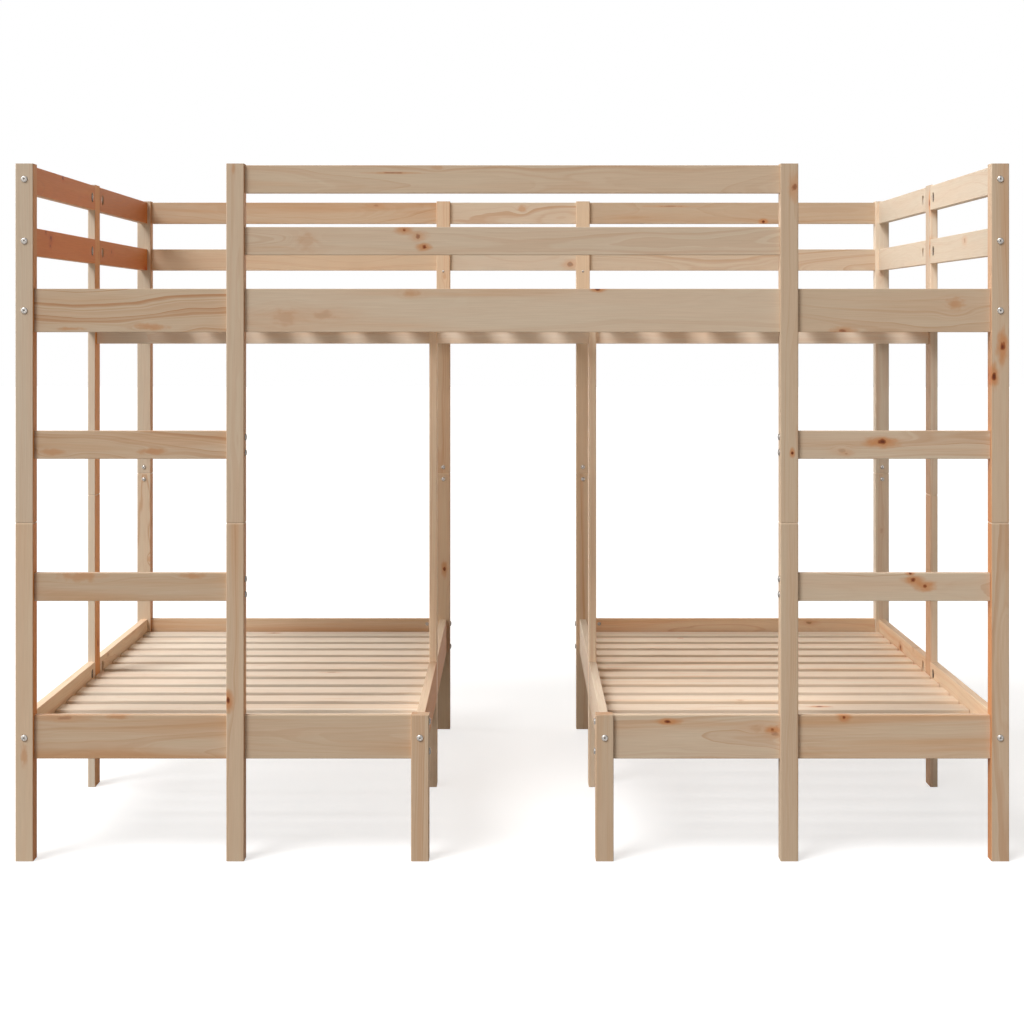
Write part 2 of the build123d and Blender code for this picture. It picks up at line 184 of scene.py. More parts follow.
def bolts_of(node):
    """Each bolt's seat under its head, its direction into the wood, and its sizes."""
    bolts = []
    for points in solids_of(node):
        low, high = box_of(points)
        axis = long_axis(low, high)
        middle = (low + high) / 2
        radius = max(high[side] - low[side] for side in range(3) if side != axis) / 2
        head = [
            point for point in points
            if (point - middle - AXES[axis] * (point - middle)[axis]).length > radius / HEAD_SHARE
        ]
        head_low, head_high = box_of(head)
        outward = 1 if (head_low + head_high)[axis] / 2 > middle[axis] else -1
        seat = middle.copy()
        seat[axis] = head_low[axis] if outward > 0 else head_high[axis]
        height = head_high[axis] - head_low[axis]
        bolts.append({
            "seat": seat, "into": AXES[axis] * -outward, "radius": radius, "height": height,
            "length": high[axis] - low[axis] - height,
        })
    return bolts


def rods_of(node):
    """Middle, direction and length of each plain rod of a node."""
    rods = []
    for points in solids_of(node):
        low, high = box_of(points)
        axis = long_axis(low, high)
        rods.append(((low + high) / 2, AXES[axis], high[axis] - low[axis]))
    return rods


frame_bolts = bolts_of("frame_bolts")
recessed_bolts = bolts_of("recessed_bolts")
lock_screws = bolts_of("pin_lock_screws")

# A small pale head shows on each rear inner post between the guards, above the upper rail
DOT_HEIGHT = 1.2516
DOT_SIZES = {"radius": 0.0032, "height": 0.0012, "length": 0.014}
for node in ("left_rear_inner_post_upper", "right_rear_inner_post_upper"):
    low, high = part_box(node)
    seat = Vector(((low.x + high.x) / 2, low.y, DOT_HEIGHT))
    lock_screws.append({"seat": seat, "into": AXES[1].copy(), **DOT_SIZES})
tie_rods = rods_of("mid_post_tie_rods")

# The heads beside the front guards are sunk, because none stands proud there in the photograph
for bolt in frame_bolts:
    if abs(bolt["into"].x) > 0 and bolt["seat"].z > GUARD_LEVEL:
        bolt["sunk"] = bolt["height"] + WELD
        bolt["seat"] = bolt["seat"] + bolt["into"] * bolt["sunk"]
        bolt["length"] -= bolt["sunk"]

# Every drilled hole: a point on the face, the direction into the wood, the depth and the radius
holes = []
pockets = []
barrels = []

for middle, along, length in tie_rods:
    if abs(along.x) > 0:
        opens = AXES[1]
    elif abs(middle.x) > END_REACH:
        opens = AXES[0] * -math.copysign(1, middle.x)
    else:
        opens = AXES[0] * math.copysign(1, middle.x)
    for way in (-1, 1):
        centre = middle + along * way * (length / 2 + POCKET_BEYOND_ROD)
        pockets.append({"centre": centre, "opens": opens, "from_post": along * way})

for bolt in frame_bolts + recessed_bolts:
    tip = bolt["seat"] + bolt["into"] * (bolt["length"] - BARREL_BACK)
    if abs(bolt["into"].y) > 0:
        opens = AXES[0] * math.copysign(1, tip.x)
        if abs(tip.x) < GAP_REACH:
            opens = -opens
    elif tip.y > 0 and (tip.z > GUARD_LEVEL or abs(tip.x) > CORNER_REACH):
        opens = AXES[1]
    else:
        opens = AXES[1] * -math.copysign(1, tip.y)
    barrels.append({"centre": tip, "opens": opens})

for bolt in recessed_bolts + frame_bolts:
    depth = bolt.get("sunk", RECESS_DEPTH if bolt in recessed_bolts else 0)
    if depth > 0:
        holes.append((bolt["seat"] - bolt["into"] * depth, bolt["into"], depth, RECESS_RADIUS))


def holes_in(low, high):
    """The holes, pockets and barrel holes that open on the board between two corners."""
    found = [hole for hole in holes if on_board(hole[0], low, high)]
    for pocket in pockets:
        add_seated(found, pocket, POCKET_DEPTH, POCKET_RADIUS, low, high)
    for barrel in barrels:
        add_seated(found, barrel, BARREL_DEPTH, BARREL_RADIUS, low, high)
    return found


def on_board(point, low, high):
    return all(low[axis] - WELD * 10 <= point[axis] <= high[axis] + WELD * 10 for axis in range(3))


def add_seated(found, place, depth, radius, low, high):
    """Put a place's hole on the face of this board that it opens through."""
    if not on_board(place["centre"], low, high):
        return
    axis = max(range(3), key=lambda number: abs(place["opens"][number]))
    start = place["centre"].copy()
    start[axis] = high[axis] if place["opens"][axis] > 0 else low[axis]
    place["mouth"] = start
    found.append((start, -place["opens"], depth, radius))


# Knots that show in the photograph, in millimetres: x and z of the middle, how large, how dark
# from 0 to 1, and how much longer along the grain than across it. A post's two halves share a row.
# What is listed here gets no knots by chance
FRONT_KNOTS = {
    "front_left_post": [(-1009, 220, 5, 0.2, 4)],
    "left_ladder_post": [(-576, 1430, 3, 0.25, 3), (-587, 333, 5, 1.0, 1.3)],
    "front_right_post": [(1013, 1063, 5.5, 0.85, 1.8), (996, 1003, 4.5, 1.0, 1.5)],
    "right_ladder_post": [(579, 844, 2.5, 0.9, 1.2), (584, 1394, 5.5, 0.62, 1.4)],
    "left_short_leg": [],
    "right_short_leg": [],
    "right_ladder_rungs": [
        (766, 867, 5.5, 1.0, 1.7), (682, 850, 4.5, 0.45, 2.0), (692, 842, 3, 0.5, 1.6),
        (830, 580, 4.5, 0.9, 1.3), (855, 568, 5, 0.9, 1.3), (825, 594, 2, 0.8, 1.5),
    ],
    "left_ladder_rungs": [
        (-951, 846, 6, 0.2, 3.6), (-746, 847, 5, 0.1, 5), (-892, 587, 8, 0.2, 4.5),
        (-662, 589, 5, 0.15, 4),
    ],
    "front_guard_rails": [
        (-426, 1281, 17, 0.36, 0.9), (-224, 1305, 4, 0.8, 1.3),
        (-195, 1293, 5, 0.6, 1.1), (-182, 1270, 4, 0.95, 1.1), (-246, 1424, 1.2, 0.6, 14),
        (-157, 1435, 4, 0.3, 3),
    ],
    "front_upper_rail_middle": [
        (-472, 1124, 15, 0.38, 1.4), (-387, 1131, 9, 0.4, 2.2), (-209, 1175, 6, 0.2, 2),
        (176, 1183, 3, 1.0, 1.6),
    ],
    "front_upper_rail_left": [(-752, 1105, 6, 0.12, 5), (-915, 1101, 3, 0.12, 7)],
    "front_upper_rail_right": [(917, 1154, 11, 0.2, 1.4), (686, 1096, 4, 0.6, 2)],
    "left_bed_front_rails": [(-926, 295, 4, 0.5, 4), (-820, 298, 4, 0.12, 6)],
    "right_bed_front_rails": [
        (323, 287, 3, 0.9, 2.4), (510, 272, 7, 0.4, 1.8), (539, 271, 3.5, 0.9, 1.2),
        (545, 262, 6, 0.5, 1.4), (687, 296, 4, 0.9, 1.1),
    ],
    "rear_guard_rails": [
        (-376, 1432, 4, 0.5, 2.4), (25, 1423, 8, 0.2, 1.4), (685, 1388, 3.5, 1.0, 1.0),
        (157, 1271, 7, 0.55, 1.0), (430, 1430, 1.5, 0.5, 18),
    ],
    "rear_right_post_upper": [(1006, 1243, 5, 0.45, 1.6)],
    "rear_left_post_upper": [],
    "right_guard_rails": [],
    "centre_beam": [],
}

# The same for boards that are seen from the side, with y in place of x
SIDE_KNOTS = {
    "left_guard_rails": [
        (-394, 1436, 5, 0.9, 1.0), (-564, 1308, 5, 0.6, 1.0), (-516, 1296, 6, 1.0, 1.1),
        (-522, 1279, 4, 0.8, 1.2), (660, 1252, 8, 0.9, 1.3), (176, 1287, 6, 0.5, 1.6),
    ],
    "right_guard_rails": [(-418, 1294, 6, 0.5, 1.5)],
    "right_bed_outer_rails": [(364, 274, 6, 0.8, 1.4), (190, 297, 8, 0.35, 2)],
}
SLAT_NODES = (
    "upper_bed_slats", "left_bed_slats", "right_bed_slats", "slat_battens", "centre_beam",
)
SCATTERED_KNOT_CHANCE = 0.5
SLAT_KNOT_CHANCE = 0.12
ONE_CHANCE_EACH = 0.6
KNOT_SPREAD = 0.45
KNOT_SIZES = (0.003, 0.006)
KNOT_DARKNESS = (0.1, 0.9)
KNOT_STRETCHES = (1.1, 2.2)
MILLIMETRES = 1000
NEAR = 0.003


def row_of(table, node, otherwise=None):
    """A node's row in a table that may have one row for both halves of a post."""
    post = node.removesuffix("_upper").removesuffix("_lower")
    return table.get(node, table.get(post, otherwise))


def seen_knots(node, low, high):
    """Middle of each knot of the two tables that lies on this board, with its size and look."""
    for table, side in ((FRONT_KNOTS, 0), (SIDE_KNOTS, 1)):
        for sideways, z, size, dark, stretch in row_of(table, node, ()):
            place = (low + high) / 2
            place[side] = sideways / MILLIMETRES
            place.z = z / MILLIMETRES
            if all(low[at] - NEAR <= place[at] <= high[at] + NEAR for at in range(3)):
                yield place, size / MILLIMETRES, dark, stretch


def knots_for(node, low, high, axis, across, rng):
    """This board's knots in its own coordinates: along, across, size, darkness and stretch."""
    middle = (low + high) / 2
    found = [
        ((place - middle)[axis], (place - middle)[across], size, dark, stretch)
        for place, size, dark, stretch in seen_knots(node, low, high)
    ]
    if not found and row_of(FRONT_KNOTS, node) is None:
        length = high[axis] - low[axis]
        width = high[across] - low[across]
        chance = SLAT_KNOT_CHANCE if node in SLAT_NODES else SCATTERED_KNOT_CHANCE
        for _ in range(1 + int(length / ONE_CHANCE_EACH)):
            if rng.random() < chance:
                found.append((
                    rng.uniform(-KNOT_SPREAD, KNOT_SPREAD) * length,
                    rng.uniform(-KNOT_SPREAD, KNOT_SPREAD) * width,
                    rng.uniform(*KNOT_SIZES), rng.uniform(*KNOT_DARKNESS),
                    rng.uniform(*KNOT_STRETCHES),
                ))
    return found[:KNOT_SLOTS]


def knot_place(local, knots, slot):
    """Where a point of a board lies from one of its knots, in knot radii."""
    if slot >= len(knots):
        return NO_KNOT
    along, sideways, radius, _, stretch = knots[slot]
    return ((local.x - along) / (radius * stretch), (local.y - sideways) / radius, 0.0)


def rounded_board(size, ease, end_eases):
    """A board along X, centred on zero, with its long edges rounded and its two ends eased."""
    half = size / 2
    profile = []
    for turn, (side_y, side_z) in enumerate(((1, 1), (-1, 1), (-1, -1), (1, -1))):
        for step in range(EASE_STEPS + 1):
            angle = math.pi / 2 * (turn + step / EASE_STEPS)
            normal = Vector((0, math.cos(angle), math.sin(angle)))
            core = Vector((0, side_y * (half.y - ease), side_z * (half.z - ease)))
            profile.append((core + normal * ease, normal))
    mesh = bmesh.new()
    rings = []
    first, last = end_eases
    for x, inset in (
        (-half.x, first), (-half.x + first * END_STEP, first * END_STEP), (-half.x + first, 0),
        (half.x - last, 0), (half.x - last * END_STEP, last * END_STEP), (half.x, last),
    ):
        inward = min(inset, ease * END_INSET)
        rings.append([
            mesh.verts.new(point - normal * inward + Vector((x, 0, 0)))
            for point, normal in profile
        ])
    for ring, after in zip(rings, rings[1:]):
        wall(mesh, ring, after)
    mesh.faces.new(rings[0][::-1])
    mesh.faces.new(rings[-1])
    bmesh.ops.recalc_face_normals(mesh, faces=mesh.faces)
    return mesh


def drill(mesh, board_holes, to_board):
    """Cut round holes, given in the row frame, out of a board in its own coordinates."""
    cutter_mesh = bmesh.new()
    for start, into, depth, radius in board_holes:
        local_into = to_board.to_3x3() @ into
        turn = local_into.to_track_quat("Z", "Y").to_matrix().to_4x4()
        centre = to_board @ start + local_into * (depth - OVERRUN) / 2
        bmesh.ops.create_cone(
            cutter_mesh, cap_ends=True, segments=HOLE_SIDES, radius1=radius, radius2=radius,
            depth=depth + OVERRUN, matrix=Matrix.Translation(centre) @ turn,
        )
    scratch = []
    for name, solid in (("board", mesh), ("cutter", cutter_mesh)):
        data = bpy.data.meshes.new(name)
        solid.to_mesh(data)
        solid.free()
        scratch.append(new_object(name, data))
    board, cutter = scratch
    cut = board.modifiers.new("cut", "BOOLEAN")
    cut.operation = "DIFFERENCE"
    cut.solver = "EXACT"
    cut.object = cutter
    result = bmesh.new()
    result.from_mesh(board.evaluated_get(bpy.context.evaluated_depsgraph_get()).data)
    for piece in scratch:
        data = piece.data
        bpy.data.objects.remove(piece)
        bpy.data.meshes.remove(data)
    return result


def outer_normal(point, half, ease, end_eases):
    """The rounded board's normal near one of its points, or None at the middle of an end."""
    end_ease = end_eases[1] if point.x > 0 else end_eases[0]
    core_y = min(max(point.y, ease - half.y), half.y - ease)
    core_z = min(max(point.z, ease - half.z), half.z - ease)
    normal = Vector((0, point.y - core_y, point.z - core_z))
    if normal.length < WELD:
        return None
    normal.normalize()
    past = (abs(point.x) - (half.x - end_ease)) / end_ease
    if past > 0:
        tilt = math.radians(90) * min(past, 1)
        normal = normal * math.cos(tilt) + AXES[0] * math.copysign(math.sin(tilt), point.x)
    return normal


# Where the pith lies from the middle of a board, across it and behind its face, how strongly the
# rings show and how closely they lie, for boards whose figure stands out in the photograph
GROWTH = {
    "front_upper_rail_left": (0.09, 0.10, 1.35, 0.55),
    "front_upper_rail_middle": (-0.03, 0.10, 0.1, 1.0),
    "front_upper_rail_right": (0.05, 0.06, 0.5, 1.0),
    "left_ladder_rungs": (0.04, 0.08, 1.1, 0.7),
    "right_guard_rails": (0.03, 0.07, 0.2, 1.0),
}

# Faces that are redder in the photograph than the rest of their board, where they lie in shade,
# get a
# warm painted shade: which way they are turned along X, how red they are, and how high that goes,
# where 9 is the whole height
WARM_SHADE_FACES = {
    "front_left_post": (1, 1.0, 9), "left_mid_post": (1, 1.0, 9), "rear_left_post": (1, 0.9, 9),
    "left_ladder_post": (1, 0.5, 9), "left_guard_rails": (1, 1.0, 9),
    "left_bed_inner_rails": (1, 0.6, 9), "right_bed_inner_rails": (-1, 0.1, 9),
    "right_mid_post": (-1, 0.5, 1.09), "front_right_post": (-1, 0.8, 1.09),
}
# Posts whose left sides get painted shade, darker than their light fronts, and by what share
SHADED_SIDES = {
    "right_mid_post_lower": 0.52, "right_mid_post_upper": 0.54, "rear_right_post": 0.15,
}
# A post's rings wander less than a rail's. One step of shade is a share of the colour. A board's
# pattern starts up to 40 m along the grain. The last two are how nearly a face has to look the way
# that the board's outside or its end does
POST_WANDER = 0.45
SHADE_STEP = 0.018
FURTHEST_START = 40
OUTER_FACE = 0.8
END_FACE = 0.9


class Timber:
    """Boards gathered into one mesh, each corner knowing its grain, its knots and its look."""

    def __init__(self):
        self.points = []
        self.faces = []
        self.normals = []
        self.layers = collections.defaultdict(list)

    def add(self, node, low, high, ease, end_eases, rng, tone, lightness):
        size = high - low
        axis = long_axis(low, high)
        rest = [side for side in range(3) if side != axis]
        through = min(rest, key=lambda side: (round(size[side], 4), side != 1))
        across = next(side for side in rest if side != through)
        middle = (low + high) / 2
        turn = Matrix((AXES[axis], AXES[across], AXES[through]))
        if turn.determinant() < 0:
            turn = Matrix((AXES[axis], AXES[across], -AXES[through]))
        to_board = turn.to_4x4() @ Matrix.Translation(-middle)
        from_board = to_board.inverted()
        half = Vector((size[axis], size[across], size[through])) / 2
        mesh = rounded_board(half * 2, ease, end_eases)
        board_holes = holes_in(low, high)
        if board_holes:
            mesh = drill(mesh, board_holes, to_board)
        knots = knots_for(node, low, high, axis, across, rng)
        sideways = rng.uniform(-PITH_SIDEWAYS, PITH_SIDEWAYS)
        behind = rng.choice((-1, 1)) * rng.uniform(PITH_NEAREST, PITH_FARTHEST)
        shade = rng.gauss(0, 1) + (lightness - 1) / SHADE_STEP
        blush = rng.random()
        start = rng.uniform(0, FURTHEST_START)
        closeness = 1.0
        if node in GROWTH:
            sideways, behind, blush, closeness = GROWTH[node]
        pith = Vector((start, sideways, behind))
        closer = Vector((1, closeness, closeness))
        wander = POST_WANDER if "post" in node or "leg" in node else 1.0
        toward, shade_redness, shade_red_height = row_of(WARM_SHADE_FACES, node, (1, 0.0, 0))
        side_shade = row_of(SHADED_SIDES, node, 0.0)
        bevel = half.x - end_eases[1] if end_eases[1] > END_EASE else math.inf
        mesh.verts.index_update()
        first = len(self.points)
        back = from_board.to_3x3()
        self.points += [from_board @ vert.co for vert in mesh.verts]
        for face in mesh.faces:
            centre = face.calc_center_median()
            expected = outer_normal(centre, half, ease, end_eases)
            shell = expected is not None and expected.dot(face.normal) > OUTER_FACE
            is_end = abs(face.normal.x) > END_FACE and abs(centre.x) > half.x - END_EASE
            self.faces.append([first + vert.index for vert in face.verts])
            for vert in face.verts:
                local = vert.co
                normal = face.normal
                if shell and not is_end:
                    normal = outer_normal(local, half, ease, end_eases) or face.normal
                normal = back @ normal
                # Painted shade: a warm red on faces turned toward the shade, below the listed
                # height
                red = shade_redness * max(0.0, normal.x * toward) ** 2
                if (from_board @ local).z > shade_red_height:
                    red = 0.0
                # Painted shade: some posts' left sides are darker
                dim = side_shade * max(0.0, -normal.x) ** 2 / SHADE_STEP
                self.normals.append(normal)
                self.layers["grain"].append((local + pith) * closer)
                self.layers["look"].append((shade - dim, float(is_end), blush))
                self.layers["tone"].append((tone, 0.0, 0.0))
                # touch: where the painted highlight of the bevel goes, the warm painted shade, and
                # how far rings wander
                self.layers["touch"].append((float(centre.x > bevel), red, wander))
                for slot in range(KNOT_SLOTS):
                    kind = knots[slot][2:] if slot < len(knots) else NO_KIND
                    self.layers[f"knot_{slot}"].append(knot_place(local, knots, slot))
                    self.layers[f"kind_{slot}"].append(kind)
        mesh.free()

    def object(self, name, material):
        data = bpy.data.meshes.new(name)
        data.from_pydata(self.points, [], self.faces)
        for label, rows in self.layers.items():
            layer = data.attributes.new(label, "FLOAT_VECTOR", "CORNER")
            layer.data.foreach_set("vector", [value for row in rows for value in row])
        data.shade_smooth()
        data.normals_split_custom_set([normal.normalized() for normal in self.normals])
        data.materials.append(material)
        return new_object(name, data)


# Materials

# How each pattern of the pine is stretched: its cycles for each metre along, across and through
WANDER = (1.3, 3, 3)
TREMBLE = (7, 30, 30)
LIVELINESS = (1.4, 9, 9)
BANDS = (0.9, 26, 26)
DRIFT = (2.6, 30, 30)
FIBRES = (14, 700, 700)
KNOT_EDGE = (50, 95, 95)

# Growth rings: how far the pith wanders and trembles, rings for each metre, and how uneven
NOISE_MIDDLE = (0.5, 0.5, 0.5)
WANDER_REACH = (0, 0.07, 0.07)
TREMBLE_REACH = (0, 0.006, 0.006)
RINGS = 185.0
SPACING_SCALE = 45.0
SPACING_REACH = 2.4
BULGE = 0.5

# Ranges of a pattern, and what they become where that isn't 0 to 1
LATE_WOOD_BEGINS = (0.25, 0.84)
LATE_WOOD_ENDS = (1.0, 0.88)
YEAR_STRENGTH = (0, 1, 0.18, 1.0)
LIVELY_RANGE = (0.34, 0.66)
QUIET_SHARE = 0.35
BLUSH_STRENGTH = (0, 2, 0.45, 2.0)
BAND_RANGE = (0.47, 0.80)
DRIFT_AMOUNT = (0.35, 0.65, 0.0, 0.5)
FIBRE_RANGE = (0.2, 0.8)
FIBRE_TINTS = {"Red": (0.955, 1.035), "Green": (0.945, 1.04), "Blue": (0.93, 1.045)}
PINE_ROUGHNESS = (0.2, 1.4, 0.66, 0.52)

# Knots: how far each part reaches in knot radii, and how dark a knot has to be to have it
EDGE_RIPPLE = (0.2, 0.8, -0.5, 0.5)
HALO_STRETCH = (0.6, 1, 0)
HALO_REACH = (3.1, 0.8)
HALO_AMOUNT = (0.25, 0.9, 0.0, 0.85)
PATCH_REACH = (1.7, 0.4)
PATCH_AMOUNT = (0.6, 0.1, 0.0, 0.66)
CORE_DEPTH = (0.85, 0.1)
CORE_REACH = (1.15, 0.7)
CORE_AMOUNT = (0.3, 0.8)
PUSH_FALL = -0.22
PUSH = 1.1
STRIPES = 15.0
STRIPE_DEPTH = 0.12

# How much of each of these there is, and how deep the relief is
TONE_PULL = 0.3
BAND_AMOUNT = 0.85
BEVEL_HIGHLIGHT_AMOUNT = 0.45
SAWN_AMOUNT = 0.4
RING_RELIEF = 0.6
FIBRE_RELIEF = 0.5
WOOD_BUMP = {"Strength": 0.3, "Distance": 0.0002}
METAL_BUMP = {"Strength": 0.2, "Distance": 0.0001}

# Tints that multiply the colour of a cream board, and of a face in warm painted shade
CREAM = (1.05, 1.19, 1.36)
WARM_SHADE_TINT = (1.05, 0.54, 0.21)

# Patterns of the metal and of the dowels
CLOUDS = 300
CLOUD_RANGE = (0.35, 0.7)
WEAR_RANGE = (0.3, 0.7)
WEAR_SHARES = (0.8, 1.25)
SCRATCHES = (900, 900, 4000)
BEECH_FLECKS = (900, 900, 120)
BEECH_RANGE = (0.4, 0.62)


class Graph:
    """Short ways to add shader nodes to a material or to the world, and to join them."""

    def __init__(self, owner):
        owner.use_nodes = True
        self.owner = owner
        self.tree = owner.node_tree
        self.tree.nodes.clear()

    def join(self, value, socket):
        if isinstance(value, bpy.types.NodeSocket):
            self.tree.links.new(value, socket)
        else:
            socket.default_value = value

    def add(self, kind, settings=(), **sockets):
        node = self.tree.nodes.new("ShaderNode" + kind)
        for name, value in dict(settings).items():
            setattr(node, name, value)
        for name, value in sockets.items():
            self.join(value, node.inputs[name.replace("_", " ")])
        return node

    def fill(self, node, *values):
        """Join values to a node's first inputs, and give its outputs."""
        for value, socket in zip(values, node.inputs):
            self.join(value, socket)
        return node.outputs

    def math(self, operation, *values):
        return self.fill(self.add("Math", {"operation": operation}), *values)[0]

    def times(self, value, *others):
        for other in others:
            value = self.math("MULTIPLY", value, other)
        return value

    def plus(self, value, other):
        return self.math("ADD", value, other)

    def vector(self, operation, *values):
        outputs = self.fill(self.add("VectorMath", {"operation": operation}), *values)
        return outputs["Value"] if operation == "LENGTH" else outputs[0]

    def scale(self, vector, factor):
        return self.fill(self.add("VectorMath", {"operation": "SCALE"}, Scale=factor), vector)[0]

    def remap(self, value, low, high, to_low=0.0, to_high=1.0, smooth=True):
        node = self.add("MapRange", {"interpolation_type": "SMOOTHSTEP" if smooth else "LINEAR"})
        return self.fill(node, value, low, high, to_low, to_high)[0]

    def noise(self, place, stretch=None, scale=1.0, detail=2.0, output="Fac"):
        if stretch:
            place = self.vector("MULTIPLY", place, stretch)
        return self.add("TexNoise", Vector=place, Scale=scale, Detail=detail).outputs[output]

    def mix(self, factor, one, other, blend="MIX"):
        """Mix two colours, which are inputs 6 and 7 and output 2 of the node."""
        node = self.add("Mix", {"data_type": "RGBA", "blend_type": blend})
        for value, number in ((factor, 0), (one, 6), (other, 7)):
            self.join(value, node.inputs[number])
        return node.outputs[2]

    def attribute(self, name):
        return self.add("Attribute", {"attribute_name": name}).outputs["Vector"]

    def split(self, vector):
        return self.add("SeparateXYZ", Vector=vector).outputs

    def surface(self, bump, height, **sockets):
        """The finished material: one shader, with relief where the height is greater."""
        normal = self.add("Bump", Height=height, **bump).outputs[0]
        return self.finish(self.add("BsdfPrincipled", Normal=normal, **sockets))

    def finish(self, shader, output="OutputMaterial"):
        self.fill(self.add(output), shader.outputs[0])
        return self.owner

    def backdrop(self, hidden, shown):
        """One shader for rays that only light, and another for those that show the background."""
        rays = self.add("LightPath").outputs
        indirect = self.math("MAXIMUM", rays["Is Glossy Ray"], rays["Is Transmission Ray"])
        seen = self.math("MAXIMUM", rays["Is Camera Ray"], indirect)
        node = self.add("MixShader")
        self.fill(node, seen, hidden.outputs[0], shown.outputs[0])
        return node


def colour(red, green, blue):
    """A colour written as 0 to 255 on screen, as the linear value that shaders use."""
    linear = [
        (value / 255 / 12.92) if value <= 10 else ((value / 255 + 0.055) / 1.055) ** 2.4
        for value in (red, green, blue)
    ]
    return (*linear, 1.0)


KNOT_HALO = colour(204, 138, 86)
FAINT_KNOT = colour(200, 142, 96)
KNOT_RIM = colour(162, 92, 54)
KNOT_HEART = colour(104, 52, 32)
DRIFT_TINT = colour(255, 247, 243)
# Painted highlight on the long bevel at the top of a lower post
BEVEL_HIGHLIGHT = colour(240, 217, 189)
SAWN_TINT = colour(196, 160, 122)
WORN_PLATE = colour(142, 139, 135)
# Painted shade in a head's socket, and on heads that stand on a face turned along X
SOCKET_SHADE_TINT = colour(104, 100, 96)
BEECH = colour(214, 170, 124)
BEECH_FLECK = colour(188, 138, 94)


def knot_field(wood, grain, slot):
    """One knot's uneven distance in knot radii, and its halo's, its darkness and its push."""
    spot = wood.attribute(f"knot_{slot}")
    along, across, _ = wood.split(spot)
    size, dark, _ = wood.split(wood.attribute(f"kind_{slot}"))
    square = wood.plus(wood.times(along, along), wood.times(across, across))
    uneven = wood.vector("ADD", wood.vector("MULTIPLY", grain, KNOT_EDGE), (slot, 0, 0))
    ripple = wood.remap(wood.noise(uneven), *EDGE_RIPPLE)
    edge = wood.plus(wood.math("SQRT", square), ripple)
    halo = wood.plus(wood.vector("LENGTH", wood.vector("MULTIPLY", spot, HALO_STRETCH)), ripple)
    push = wood.times(wood.math("EXPONENT", wood.times(square, PUSH_FALL)), size, PUSH)
    return edge, halo, dark, push, wood.times(push, across)


def paint_knot(wood, surface, edge, halo, dark):
    """A dark knot has a brown core in a warm halo, and a faint one is only a warm patch."""
    warmth = wood.times(wood.remap(halo, *HALO_REACH), wood.remap(dark, *HALO_AMOUNT))
    surface = wood.mix(warmth, surface, KNOT_HALO)
    patch = wood.times(wood.remap(edge, *PATCH_REACH), wood.remap(dark, *PATCH_AMOUNT))
    surface = wood.mix(patch, surface, FAINT_KNOT)
    stripes = wood.times(wood.math("SINE", wood.times(edge, STRIPES)), STRIPE_DEPTH)
    core = wood.mix(wood.plus(wood.remap(edge, *CORE_DEPTH), stripes), KNOT_RIM, KNOT_HEART)
    inside = wood.times(wood.remap(edge, *CORE_REACH), wood.remap(dark, *CORE_AMOUNT))
    return wood.mix(inside, surface, core)


